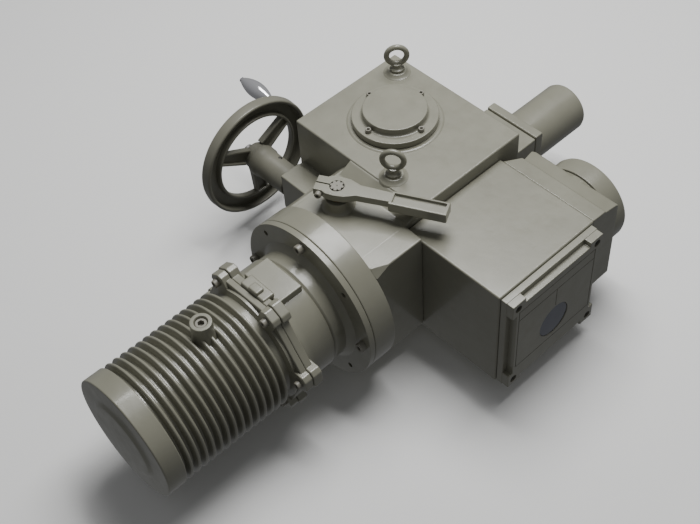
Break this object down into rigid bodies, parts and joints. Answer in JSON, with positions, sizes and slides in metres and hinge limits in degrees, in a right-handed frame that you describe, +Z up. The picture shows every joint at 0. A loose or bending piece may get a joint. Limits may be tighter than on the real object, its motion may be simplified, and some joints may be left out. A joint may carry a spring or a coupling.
{
  "type": "motorized valve actuator",
  "caption": "Electric multi-turn valve actuator: worm gear case on a round valve flange, finned motor, side handwheel with crank handle, declutch lever and control box.",
  "frame": {"origin": "under the middle of the whole assembly's box, on the floor plane that the valve flange stands on", "axes": "+Z up along the output axis; +Y from the motor towards the spring tube, along the worm axis; +X from the handwheel towards the control box"},
  "size_m": [0.677, 0.966, 0.3148],
  "materials": {
    "case_paint": "semi-gloss olive grey enamel over casting skin",
    "wheel_paint": "semi-gloss dark grey enamel",
    "machined_steel": "machined, lightly oiled",
    "black_steel": "black oxide",
    "bronze": "machined bronze",
    "copper_wire": "varnished copper winding",
    "chrome_plate": "polished",
    "seal_rubber": "matt black",
    "window_glass": "dark tinted",
    "black_plastic": "moulded",
    "circuit_board": "solder mask green"
  },
  "bodies": {
    "actuator_body": {"gear_housing": "case_paint", "output_flange": "case_paint", "top_cover": "case_paint", "lifting_eye_a": "case_paint", "lifting_eye_b": "case_paint", "handwheel_bracket": "case_paint", "motor_flange": "case_paint", "motor_adapter": "case_paint", "motor_housing": "case_paint", "motor_end_cover": "case_paint", "spring_tube": "case_paint", "control_box": "case_paint", "control_cover": "case_paint", "terminal_housing": "case_paint", "terminal_cover": "case_paint", "output_bearing_lower": "machined_steel", "output_bearing_upper": "machined_steel", "worm_bearing_front": "machined_steel", "worm_bearing_rear": "machined_steel", "motor_bearing_front": "machined_steel", "motor_bearing_rear": "machined_steel", "top_cover_screw_1": "black_steel", "top_cover_screw_2": "black_steel", "top_cover_screw_3": "black_steel", "top_cover_screw_4": "black_steel", "motor_flange_screw_1": "black_steel", "motor_flange_screw_2": "black_steel", "motor_flange_screw_3": "black_steel", "motor_flange_screw_4": "black_steel", "motor_plug": "black_steel", "cable_plug": "black_steel", "stator": "black_steel", "disc_spring_pack": "black_steel", "declutch_bush": "bronze", "handwheel_bush": "bronze", "stator_winding": "copper_wire", "output_seal_lower": "seal_rubber", "sight_window": "window_glass", "terminal_block": "black_plastic", "control_board": "circuit_board"},
    "output": {"output_sleeve": "machined_steel", "worm_wheel": "bronze"},
    "worm": {"worm_shaft": "machined_steel"},
    "clutch": {"clutch_sleeve": "machined_steel"},
    "rotor": {"rotor_shaft": "machined_steel", "rotor_core": "black_steel", "motor_coupling": "machined_steel"},
    "bevel": {"bevel_gear": "machined_steel", "bevel_bush": "bronze"},
    "handwheel": {"handwheel": "wheel_paint", "handwheel_shaft": "machined_steel", "bevel_pinion": "machined_steel", "crank_spindle": "machined_steel"},
    "crank": {"crank_handle": "chrome_plate"},
    "lever": {"declutch_lever": "case_paint", "lever_clamp_screw": "black_steel", "declutch_shaft": "machined_steel", "shifter_arm": "machined_steel"}
  },
  "joints": [
    {"name": "output_turn", "type": "hinge", "parent": "actuator_body", "child": "output", "pos_m": [-0.041, 0.163, 0.138], "axis": [0, 0, 1], "continuous": true},
    {"name": "worm_spin", "type": "hinge", "parent": "actuator_body", "child": "worm", "pos_m": [0.0565, 0.163, 0.138], "axis": [0, 1, 0], "continuous": true},
    {"name": "rotor_spin", "type": "hinge", "parent": "actuator_body", "child": "rotor", "pos_m": [0.0565, 0.163, 0.138], "axis": [0, 1, 0], "continuous": true},
    {"name": "lever_turn", "type": "hinge", "parent": "actuator_body", "child": "lever", "pos_m": [0.0185, -0.0175, 0.27], "axis": [0, 0, 1], "range_deg": [0, 21.6]},
    {"name": "clutch_slide", "type": "slide", "parent": "worm", "child": "clutch", "axis": [0, 1, 0], "range_m": [0, 0.014]},
    {"name": "handwheel_spin", "type": "hinge", "parent": "actuator_body", "child": "handwheel", "pos_m": [-0.24725, 0.023, 0.138], "axis": [1, 0, 0], "continuous": true},
    {"name": "bevel_spin", "type": "hinge", "parent": "actuator_body", "child": "bevel", "pos_m": [0.0565, 0.023, 0.138], "axis": [0, 1, 0], "continuous": true},
    {"name": "crank_spin", "type": "hinge", "parent": "handwheel", "child": "crank", "pos_m": [-0.2615, 0.0806, 0.21728], "axis": [1, 0, 0], "continuous": true}
  ],
  "couplings": [
    {"joint": "worm_spin", "follows": "output_turn", "ratio": -39},
    {"joint": "rotor_spin", "follows": "output_turn", "ratio": -39},
    {"joint": "clutch_slide", "follows": "lever_turn", "m_per_rad": 0.0371},
    {"joint": "bevel_spin", "follows": "handwheel_spin", "ratio": 0.5}
  ]
}
